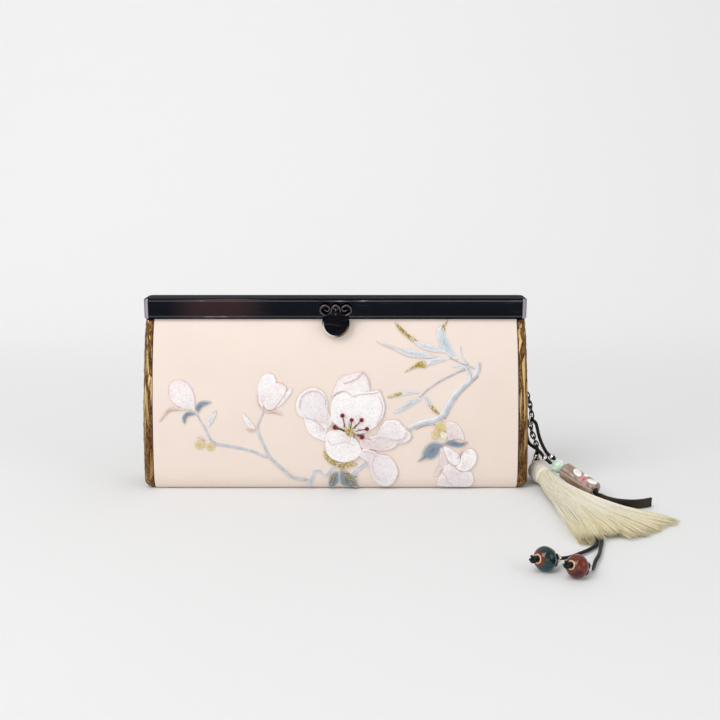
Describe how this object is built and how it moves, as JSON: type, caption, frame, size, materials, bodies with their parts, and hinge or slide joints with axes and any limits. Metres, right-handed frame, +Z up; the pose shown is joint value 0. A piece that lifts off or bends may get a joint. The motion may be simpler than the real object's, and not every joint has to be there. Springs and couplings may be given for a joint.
{
  "type": "embroidered clutch purse with metal frame and beaded tassel charm",
  "caption": "Small upright clutch of embroidered satin with folding leather sides, a hinged metal frame, a press clasp and a charm of beads, leather and tassel.",
  "frame": {"origin": "middle of the purse's flat base, on the surface that it stands on", "axes": "+X to the wearer's right along the frame, -Y the embroidered front, +Z up"},
  "size_m": [0.2669, 0.1448, 0.1],
  "materials": {
    "gunmetal": "polished black nickel",
    "satin": "peach satin with raised silk embroidery",
    "bronze_leather": "crinkled metallic bronze",
    "dark_chain": "blackened",
    "silver": "polished",
    "gold": "antique, satin",
    "black_leather": "round cord, satin",
    "mint_stone": "polished translucent stone",
    "taupe_clay": "glazed clay with raised blossom",
    "olive_leather": "oiled",
    "cream_fibre": "silk thread",
    "teal_glaze": "kiln glaze",
    "rust_glaze": "kiln glaze"
  },
  "bodies": {
    "purse": {"frame_front": "gunmetal", "frame_back": "gunmetal", "hinge_pin_left": "gunmetal", "hinge_pin_right": "gunmetal", "clasp_plate": "gunmetal", "clasp_pin": "gunmetal", "satin_shell": "satin", "gusset_left": "bronze_leather", "gusset_right": "bronze_leather", "frame_chain": "dark_chain", "silver_ring": "silver", "tassel_chain": "dark_chain", "gold_ring": "gold", "leather_loop": "black_leather", "crimp_upper": "silver", "crimp_lower": "silver", "mint_bead": "mint_stone", "tube_bead": "taupe_clay", "leather_strap": "olive_leather", "tassel": "cream_fibre", "teal_bead": "teal_glaze", "teal_cap": "dark_chain", "teal_spacer": "silver", "teal_knot": "black_leather", "teal_cord": "black_leather", "rust_bead": "rust_glaze", "rust_cap": "dark_chain", "rust_spacer": "silver", "rust_knot": "black_leather", "rust_cord": "black_leather"},
    "clasp": {"clasp_lever": "gunmetal"}
  },
  "joints": [
    {"name": "clasp_press", "type": "hinge", "parent": "purse", "child": "clasp", "pos_m": [0.0003, -0.0095, 0.0946], "axis": [1, 0, 0], "range_deg": [0, 6], "stiffness_Nm_per_rad": 0.05}
  ]
}
